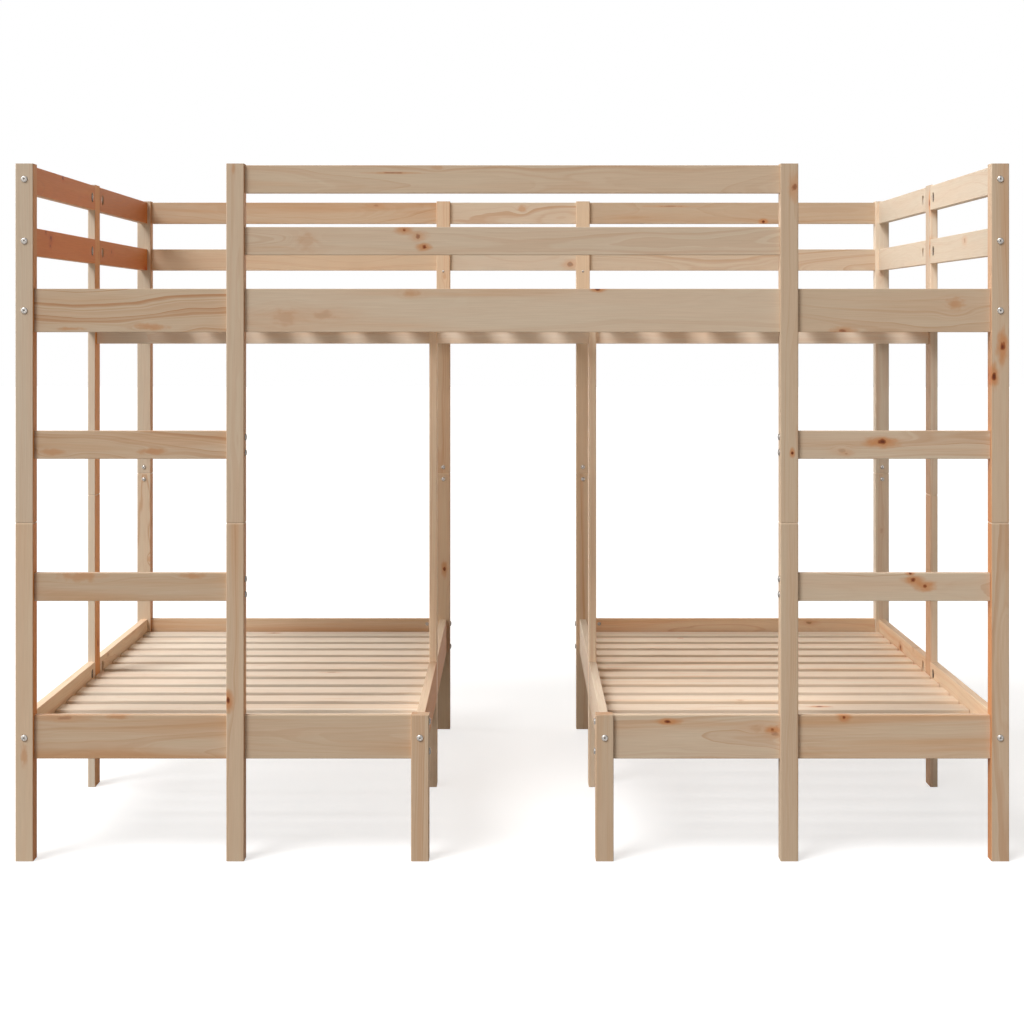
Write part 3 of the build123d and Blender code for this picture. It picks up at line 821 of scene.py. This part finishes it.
def pine(name, pale, warm, late, ring_strength):
    """Planed softwood: growth rings round a pith, fibres, warm patches and knots."""
    wood = Graph(bpy.data.materials.new(name))
    grain = wood.attribute("grain")
    shade, is_end, blush = wood.split(wood.attribute("look"))
    tone = wood.split(wood.attribute("tone"))[0]
    bevel, red, wandering = wood.split(wood.attribute("touch"))
    knots = [knot_field(wood, grain, slot) for slot in range(KNOT_SLOTS)]

    # Rings: the pith wanders along the board, and the grain parts round a knot
    wander = wood.noise(grain, WANDER, detail=1.5, output="Color")
    wander = wood.vector("MULTIPLY", wood.vector("SUBTRACT", wander, NOISE_MIDDLE), WANDER_REACH)
    wander = wood.scale(wander, wandering)
    tremble = wood.vector("SUBTRACT", wood.noise(grain, TREMBLE, output="Color"), NOISE_MIDDLE)
    tremble = wood.vector("MULTIPLY", tremble, TREMBLE_REACH)
    place = wood.vector("ADD", wood.vector("ADD", grain, wander), tremble)
    bulge = aside = 0.0
    for _, _, _, push, sideways in knots:
        bulge = wood.plus(push, bulge)
        aside = wood.plus(sideways, aside)
    parted = wood.add("CombineXYZ", X=0.0, Y=aside, Z=0.0).outputs[0]
    place = wood.vector("SUBTRACT", place, parted)
    radius = wood.vector("LENGTH", wood.vector("MULTIPLY", place, (0, 1, 1)))
    radius = wood.plus(radius, wood.times(bulge, BULGE))
    spacing = wood.add("TexNoise", {"noise_dimensions": "1D"}, W=wood.times(radius, SPACING_SCALE))
    uneven = wood.times(spacing.outputs["Fac"], SPACING_REACH)
    year = wood.plus(wood.times(radius, RINGS), uneven)
    season = wood.math("FRACT", year)
    each_year = wood.add("TexWhiteNoise", {"noise_dimensions": "1D"}, W=wood.math("FLOOR", year))
    lively = wood.noise(grain, LIVELINESS, detail=1)
    rings = wood.times(
        wood.times(wood.remap(season, *LATE_WOOD_BEGINS), wood.remap(season, *LATE_WOOD_ENDS)),
        wood.remap(wood.math("POWER", each_year.outputs[0], 2.0), *YEAR_STRENGTH),
        wood.remap(lively, *LIVELY_RANGE, ring_strength * QUIET_SHARE, ring_strength),
        wood.remap(blush, *BLUSH_STRENGTH, smooth=False),
    )

    # Broad warm bands along the grain, a drift between rosy and greenish, and fine fibres
    band = wood.plus(wood.noise(place, BANDS, detail=3), wood.times(tone, TONE_PULL))
    surface = wood.mix(wood.times(wood.remap(band, *BAND_RANGE), BAND_AMOUNT), pale, warm)
    drift = wood.remap(wood.noise(grain, DRIFT), *DRIFT_AMOUNT)
    surface = wood.mix(drift, surface, wood.mix(1.0, surface, DRIFT_TINT, "MULTIPLY"))
    surface = wood.mix(rings, surface, late)
    fibre = wood.noise(grain, FIBRES)
    fleck = wood.add("CombineColor", **{
        channel: wood.remap(fibre, *FIBRE_RANGE, *tints) for channel, tints in FIBRE_TINTS.items()
    })
    surface = wood.mix(1.0, surface, fleck.outputs[0], "MULTIPLY")
    surface = wood.scale(surface, wood.plus(wood.times(shade, SHADE_STEP), 1.0))

    for edge, halo, dark, _, _ in knots:
        surface = paint_knot(wood, surface, edge, halo, dark)

    # Cream boards, a warm painted shade on faces in shade, a painted highlight on a post's bevel
    # at the split, and sawn ends, which are darker
    cream = wood.vector("MULTIPLY", surface, CREAM)
    surface = wood.mix(wood.remap(tone, 0, -1, smooth=False), surface, cream)
    surface = wood.mix(red, surface, wood.vector("MULTIPLY", surface, WARM_SHADE_TINT))
    surface = wood.mix(wood.times(bevel, BEVEL_HIGHLIGHT_AMOUNT), surface, BEVEL_HIGHLIGHT)
    sawn = wood.mix(1.0, surface, SAWN_TINT, "MULTIPLY")
    surface = wood.mix(wood.times(is_end, SAWN_AMOUNT), surface, sawn)

    height = wood.plus(wood.times(rings, RING_RELIEF), wood.times(fibre, FIBRE_RELIEF))
    roughness = wood.remap(wood.plus(fibre, rings), *PINE_ROUGHNESS)
    return wood.surface(
        WOOD_BUMP, height, Base_Color=surface, Roughness=roughness, Specular_IOR_Level=0.2
    )


def metal(name, tint, roughness):
    """Plated steel, with faint brushing and a little unevenness."""
    plate = Graph(bpy.data.materials.new(name))
    place = plate.add("TexCoord").outputs["Object"]
    cloud = plate.noise(place, scale=CLOUDS, detail=3)
    scratch = plate.noise(place, SCRATCHES, detail=1)
    shade = plate.mix(plate.remap(cloud, *CLOUD_RANGE), tint, WORN_PLATE)
    # Painted shade: darker in a head's socket, and on heads turned along X
    shade = plate.mix(plate.split(plate.attribute("socket"))[0], shade, SOCKET_SHADE_TINT)
    wear = plate.remap(cloud, *WEAR_RANGE, *(roughness * share for share in WEAR_SHARES))
    return plate.surface(METAL_BUMP, scratch, Base_Color=shade, Metallic=1.0, Roughness=wear)


def beech(name):
    """Turned hardwood with short flecks."""
    wood = Graph(bpy.data.materials.new(name))
    fleck = wood.noise(wood.add("TexCoord").outputs["Object"], BEECH_FLECKS)
    shade = wood.mix(wood.remap(fleck, *BEECH_RANGE), BEECH, BEECH_FLECK)
    return wood.surface(WOOD_BUMP, fleck, Base_Color=shade, Roughness=0.6)


frame_pine = pine(
    "frame_pine", colour(216, 192, 164), colour(206, 160, 118), colour(190, 138, 96), 0.75
)
slat_pine = pine(
    "slat_pine", colour(232, 216, 196), colour(226, 194, 160), colour(208, 166, 126), 0.45
)
bright_plate = metal("bright_plate", colour(186, 180, 174), 0.3)
dull_plate = metal("dull_plate", colour(152, 149, 146), 0.38)
dowel_wood = beech("dowel_wood")

# Timber pieces, one for each node of the frame

STEEL_NODES = (
    "frame_bolts", "recessed_bolts", "pin_lock_screws", "post_studs", "post_joining_pins",
    "mid_post_tie_rods", "mid_post_dowels",
)

# How much warmer some boards are than the rest, in the order of their places from left to right,
# or from the lower half of a post to the upper
WARM_BOARDS = {
    "left_guard_rails": (1.0,), "left_upper_side_rails": (0.4,), "left_bed_outer_rails": (-0.1,),
    "rear_guard_rails": (0.0, 0.25, -0.9, -0.6, -0.6, -0.1), "right_bed_inner_rails": (-0.6,),
    "right_guard_rails": (-0.8,), "front_guard_rails": (-0.3, -0.1),
    "front_left_post": (0.0, -0.35), "rear_left_post": (-0.3, -0.6),
    "left_inner_mid_post": (-0.3,), "right_inner_mid_post": (-0.3,), "centre_beam": (-0.1,),
    "left_bed_slats": (-0.2,), "rear_right_post": (-0.7, -0.8),
    "left_ladder_post": (0.0, -0.15), "front_right_post": (0.0, 0.1),
    "front_upper_rail_middle": (-0.3,), "right_ladder_rungs": (-0.2,),
    "right_bed_front_rails": (-0.2, 0.0),
    "left_mid_post": (-0.8, -0.9), "right_mid_post": (-0.5, -0.8),
    "left_bed_rear_rail": (0.35,), "right_bed_rear_rail": (0.1,),
    "left_ladder_rungs": (0.35, 0.25), "left_bed_front_rails": (0.4, 0.1),
    "left_short_leg": (0.4,), "right_short_leg": (0.4,), "right_bed_outer_rails": (0.3,),
}

# How light some boards are, as a share of the rest, in the same order. This is partly the wood's
# own tone and partly painted light, which lifts boards that lie in shade, such as the rear slats
# of the right bed
BOARD_TONE_AND_PAINTED_LIGHT = {
    "left_inner_mid_post": (1.42,), "right_inner_mid_post": (1.34,),
    "right_mid_post": (1.46, 1.36), "left_mid_post": (1.1, 1.09),
    "rear_right_post": (1.24, 1.2), "rear_left_post": (1.0, 0.94),
    "centre_beam": (1.14, 1.28, 1.26), "left_bed_rear_rail": (0.94,),
    "right_bed_rear_rail": (1.26,),
    "left_bed_outer_rails": (1.42,), "right_bed_outer_rails": (1.23,),
    "left_bed_inner_rails": (1.08,), "right_bed_inner_rails": (1.04,),
    "left_guard_rails": (1.14, 1.05, 1.04, 0.94), "front_guard_rails": (1.03, 1.0),
    "left_rear_inner_post": (1.1, 1.12), "right_rear_inner_post": (1.1, 1.12),
    "rear_guard_rails": (1.03, 0.96, 0.98, 1.07, 0.97, 0.89), "right_guard_rails": (0.94,),
    "left_bed_slats": (1.06,), "right_ladder_post": (0.93, 0.91),
    "front_right_post": (0.97, 0.96),
    "front_upper_rail_left": (0.98,), "front_upper_rail_right": (0.97,),
    "left_ladder_rungs": (0.92, 1.0), "left_bed_front_rails": (0.96, 1.0),
    "right_short_leg": (0.94,),
    "right_bed_slats": (
        0.92, 0.94, 1.02, 1.16, 1.24, 1.29, 1.32, 1.33, 1.34, *[1.35] * 4,
    ),
}


def dress_timber(node):
    rng = random.Random(node)
    timber = Timber()
    if node in SLAT_NODES:
        ease, material, slot = SLAT_EASE, slat_pine, "slat_pine"
    else:
        ease = POST_EASE if "post" in node or "leg" in node else BOARD_EASE
        material, slot = frame_pine, "frame_pine"
    tones = row_of(WARM_BOARDS, node, (0.0,))
    lights = row_of(BOARD_TONE_AND_PAINTED_LIGHT, node, (1.0,))
    end_eases = (END_EASE, SPLIT_EASE if "post_lower" in node else END_EASE)
    first = 1 if node.endswith("_upper") else 0
    for number, points in enumerate(solids_of(node), first):
        low, high = box_of(points)
        tone = tones[number % len(tones)]
        lightness = lights[number % len(lights)]
        timber.add(node, low, high, ease, end_eases, rng, tone, lightness)
    piece = timber.object("timber_" + node, material)
    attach(piece, BODY)
    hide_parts(node)


for node in sorted(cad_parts):
    if node not in STEEL_NODES:
        dress_timber(node)


# Metalwork


def polar(radius, angle, height=0.0):
    return Vector((radius * math.cos(angle), radius * math.sin(angle), height))


def placed(seat, outward):
    """The place of a part whose own Z points outward from its seat."""
    return Matrix.Translation(seat) @ outward.to_track_quat("Z", "Y").to_matrix().to_4x4()


def lathe(mesh, outline, matrix, sides):
    """Turn an outline of (radius, height) pairs round Z, closed where the radius is zero."""
    rings = [
        [
            mesh.verts.new(matrix @ polar(radius, turn * math.tau / sides, height))
            for turn in range(sides if radius else 1)
        ]
        for radius, height in outline
    ]
    for ring, after in zip(rings, rings[1:]):
        for turn in range(sides):
            beyond = (turn + 1) % sides
            corners = [ring[turn % len(ring)], ring[beyond % len(ring)],
                       after[beyond % len(after)], after[turn % len(after)]]
            unique = list(dict.fromkeys(corners))
            if len(unique) > 2:
                mesh.faces.new(unique)


def head_shade(into):
    """Painted shade: the photograph's heads are dark where they stand on a face that is turned
    along X.
    """
    return max(into.x * SHADE_ON_LEFT, into.x * -SHADE_ON_RIGHT, 0.0)


def hexagon_radius(angle, flat):
    """Distance from the middle to a hexagon's side, for a half width across flats."""
    sector = math.pi / 3
    return flat / math.cos((angle % sector) - sector / 2)


def button_head(mesh, matrix, radius, height, shade):
    """A low domed head with a hexagonal socket, with painted shade in the socket. A shade of 1
    paints the whole head as dark as the socket.
    """
    layers = mesh.verts.layers.float_vector
    shaded = layers.get("socket") or layers.new("socket")
    flat = radius * SOCKET_SHARE
    rings = []

    def ring(height_at, radius_at):
        rings.append([
            mesh.verts.new(matrix @ polar(radius_at(turn), turn, height_at))
            for turn in (number * math.tau / HEAD_SIDES for number in range(HEAD_SIDES))
        ])

    floor_height = height * (1 - SOCKET_DEPTH_SHARE)
    ring(floor_height, lambda turn: hexagon_radius(turn, flat))
    ring(height * SOCKET_EDGE, lambda turn: hexagon_radius(turn, flat))
    ring(height, lambda turn: hexagon_radius(turn, flat) + radius * SOCKET_EASE)
    inner = flat * FLAT_RING
    for step in range(1, DOME_STEPS + 1):
        angle = math.pi / 2 * step / DOME_STEPS
        at = inner + (radius - inner) * math.sin(angle)
        ring(height * (HEAD_EDGE + (1 - HEAD_EDGE) * math.cos(angle)), lambda turn, at=at: at)
    ring(0, lambda turn: radius)
    floor = mesh.verts.new(matrix @ Vector((0, 0, floor_height - height * SOCKET_POINT)))
    for one_ring in rings:
        for vert in one_ring:
            vert[shaded] = (shade, 0, 0)
    for vert in (floor, *rings[0]):
        vert[shaded] = IN_SOCKET
    for number in range(HEAD_SIDES):
        beyond = (number + 1) % HEAD_SIDES
        mesh.faces.new((floor, rings[0][number], rings[0][beyond]))
        for one, other in zip(rings, rings[1:]):
            mesh.faces.new((one[number], other[number], other[beyond], one[beyond]))
    mesh.faces.new(rings[-1][::-1])


def threaded_shank(mesh, matrix, radius, length, plain):
    """A shank below the head, plain first and then with thread ridges, with a tapered tip."""
    outline = [(0, 0), (radius, 0), (radius, -plain)]
    for ridge in range(int((length - plain - radius) / THREAD_PITCH)):
        top = -plain - ridge * THREAD_PITCH
        outline += [
            (radius * THREAD_ROOT, top - THREAD_PITCH / 2), (radius, top - THREAD_PITCH),
        ]
    outline += [
        (radius * TIP_START, -length + radius * TIP_LENGTH), (radius * TIP_END, -length),
        (0, -length),
    ]
    lathe(mesh, outline, matrix, SHANK_SIDES)


def metal_object(name, mesh, material, nodes, slot, smooth_angle=35):
    bmesh.ops.recalc_face_normals(mesh, faces=mesh.faces)
    data = bpy.data.meshes.new(name)
    mesh.to_mesh(data)
    mesh.free()
    data.materials.append(material)
    data.shade_smooth()
    data.set_sharp_from_angle(angle=math.radians(smooth_angle))
    piece = new_object(name, data)
    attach(piece, BODY)
    if nodes:
        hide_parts(*nodes)


for name, bolts, material, slot in (
    ("frame_bolts", frame_bolts, bright_plate, "bright_steel"),
    ("recessed_bolts", recessed_bolts, dull_plate, "zinc_steel"),
    ("pin_lock_screws", lock_screws, bright_plate, "zinc_steel"),
):
    mesh = bmesh.new()
    rng = random.Random(name)
    for bolt in bolts:
        matrix = placed(bolt["seat"], -bolt["into"]) @ Matrix.Rotation(rng.uniform(0, 1), 4, "Z")
        button_head(mesh, matrix, bolt["radius"], bolt["height"], head_shade(bolt["into"]))
        threaded_shank(mesh, matrix, ROD_RADIUS, bolt["length"], bolt["length"] / 2)
    metal_object("steel_" + name, mesh, material, [name], slot)

for name, radius, material, slot in (
    ("post_studs", ROD_RADIUS, dull_plate, "zinc_steel"),
    ("post_joining_pins", PIN_RADIUS, dull_plate, "zinc_steel"),
    ("mid_post_dowels", DOWEL_RADIUS, dowel_wood, "beech_dowel"),
):
    mesh = bmesh.new()
    for middle, along, length in rods_of(name):
        chamfer = radius * ROD_CHAMFER
        outline = [
            (0, -length / 2), (radius - chamfer, -length / 2), (radius, chamfer - length / 2),
            (radius, length / 2 - chamfer), (radius - chamfer, length / 2), (0, length / 2),
        ]
        lathe(mesh, outline, placed(middle, along), ROD_SIDES)
    metal_object("rod_" + name, mesh, material, [name], slot)

# Tie rods with a hexagon nut and a half-moon washer in each pocket
nut_outline = [
    (0, 0), (NUT_RADIUS * NUT_END, 0), (NUT_RADIUS, NUT_LENGTH * NUT_CHAMFER),
    (NUT_RADIUS, NUT_LENGTH * (1 - NUT_CHAMFER)), (NUT_RADIUS * NUT_END, NUT_LENGTH),
    (0, NUT_LENGTH),
]
mesh = bmesh.new()
for middle, along, length in tie_rods:
    threaded_shank(mesh, placed(middle + along * length / 2, along), ROD_RADIUS, length, 0)
    for way in (-1, 1):
        inner_face = middle + along * way * (length / 2 - NUT_LENGTH)
        lathe(mesh, nut_outline, placed(inner_face, along * way), NUT_SIDES)
metal_object("steel_mid_post_tie_rods", mesh, dull_plate, ["mid_post_tie_rods"], "zinc_steel", 20)


def half_moon(mesh, pocket):
    """A washer that is round towards the post, as the pocket is, and flat towards the nut."""
    toward_nut = pocket["from_post"]
    depth_axis = pocket["opens"]
    sideways = toward_nut.cross(depth_axis)
    middle = pocket["mouth"] - depth_axis * POCKET_DEPTH / 2
    radius = POCKET_RADIUS - WASHER_GAP
    end_angle = math.acos((NUT_LENGTH + POCKET_BEYOND_ROD) / radius)
    height = POCKET_DEPTH * WASHER_HALF
    outline = [
        -toward_nut * radius * math.cos(angle) + sideways * radius * math.sin(angle)
        for angle in (
            end_angle * (2 * step / ARC_STEPS - 1) for step in range(ARC_STEPS + 1)
        )
    ]
    bottom, top = (
        [mesh.verts.new(middle + point + depth_axis * level) for point in outline]
        for level in (-height, height)
    )
    wall(mesh, bottom, top)
    mesh.faces.new(bottom[::-1])
    mesh.faces.new(top)


mesh = bmesh.new()
for pocket in pockets:
    half_moon(mesh, pocket)
metal_object("steel_half_moon_washers", mesh, bright_plate, [], "zinc_steel")

# Barrel nuts, each with a slot across its end that shows how it is turned
mesh = bmesh.new()
radius = BARREL_RADIUS - FIT_GAP
slot_depth = BARREL_LENGTH * SLOT_DEPTH_SHARE
slot_angle = math.asin(SLOT_SHARE)
for barrel in barrels:
    if "mouth" not in barrel:
        continue
    top = barrel["mouth"] - barrel["opens"] * (BARREL_DEPTH - BARREL_LENGTH)
    matrix = placed(top, barrel["opens"])
    for side in (-1, 1):
        arc = [
            polar(radius, side * (slot_angle + (math.pi - 2 * slot_angle) * step / ARC_STEPS))
            for step in range(ARC_STEPS + 1)
        ]
        upper = [mesh.verts.new(matrix @ point) for point in arc]
        lower = [mesh.verts.new(matrix @ (point - AXES[2] * slot_depth)) for point in arc]
        mesh.faces.new(upper)
        wall(mesh, upper, lower)
        mesh.faces.new(lower[::-1])
    barrel_outline = [
        (0, -slot_depth), (radius, -slot_depth), (radius, -BARREL_LENGTH), (0, -BARREL_LENGTH),
    ]
    lathe(mesh, barrel_outline, matrix, BARREL_SIDES)
metal_object("steel_barrel_nuts", mesh, bright_plate, [], "zinc_steel")

# Stage: a pale floor that keeps the shadow, and a soft, slightly warm surround. Both are white
# where the camera looks past the bed
FLOOR_HALF = 30
FLOOR_DROP = 0.0003
FLOOR_HIDDEN = (0.30, 0.30, 0.30, 1)
FLOOR_SHOWN = (0.55, 0.55, 0.55, 1)
FLOOR_GLOW = 0.66
SURROUND = (0.088, 0.075, 0.06, 1)
WHITE = (1, 1, 1, 1)

floor_look = Graph(bpy.data.materials.new("floor"))
hidden = floor_look.add("BsdfDiffuse", Color=FLOOR_HIDDEN)
pale = floor_look.add("BsdfDiffuse", Color=FLOOR_SHOWN)
glow = floor_look.add("Emission", Color=WHITE, Strength=FLOOR_GLOW)
shown = floor_look.add("AddShader")
floor_look.fill(shown, pale.outputs[0], glow.outputs[0])

corners = ((-1, -1), (1, -1), (1, 1), (-1, 1))
floor_mesh = bpy.data.meshes.new("floor")
floor_mesh.from_pydata(
    [(x * FLOOR_HALF, y * FLOOR_HALF, -FLOOR_DROP) for x, y in corners], [], [(0, 1, 2, 3)],
)
floor_mesh.materials.append(floor_look.finish(floor_look.backdrop(hidden, shown)))
new_object("floor", floor_mesh)

world = bpy.data.worlds.new("surround")
bpy.context.scene.world = world
around = Graph(world)
hidden = around.add("Background", Color=SURROUND, Strength=1.0)
shown = around.add("Background", Color=WHITE, Strength=1.0)
around.finish(around.backdrop(hidden, shown), "OutputWorld")


def sun(name, toward, strength, spread, tint):
    lamp = bpy.data.lights.new(name, "SUN")
    lamp.energy = strength
    lamp.angle = math.radians(spread)
    lamp.color = tint
    holder = new_object(name, lamp)
    holder.rotation_mode = "QUATERNION"
    holder.rotation_quaternion = Vector(toward).to_track_quat("Z", "Y")


# Toward each lamp, its strength, how wide it is in degrees, and its tint
sun("key", (-0.44, -0.54, 0.72), 2.25, 28, (1.0, 1.0, 1.01))
sun("front", (-0.10, -1.0, 0.03), 0.22, 14, (1.0, 0.97, 0.92))
sun("top", (-0.15, -0.40, 0.90), 0.30, 50, (1.0, 0.97, 0.94))
sun("left", (-0.97, 0.10, 0.22), 1.55, 40, (0.90, 0.96, 1.0))
sun("left_high", (-0.80, -0.15, 0.60), 0.25, 40, (0.95, 0.98, 1.0))
sun("back", (-0.10, 0.95, 0.10), 2.1, 60, (1.0, 0.82, 0.66))

# Camera: level, in front, at the photograph's distance, with its horizon above the middle
lens = bpy.data.cameras.new("camera")
lens.sensor_width = 36
lens.lens = 74.83
lens.shift_x = -0.0036
lens.shift_y = -0.1885
lens.clip_start = 0.1
lens.clip_end = 200
camera = new_object("camera", lens)
camera.location = (0.007, -5.1275, 1.1214)
camera.rotation_euler = (math.radians(90), 0, 0)
bpy.context.scene.camera = camera

bpy.context.scene.view_settings.view_transform = "Standard"
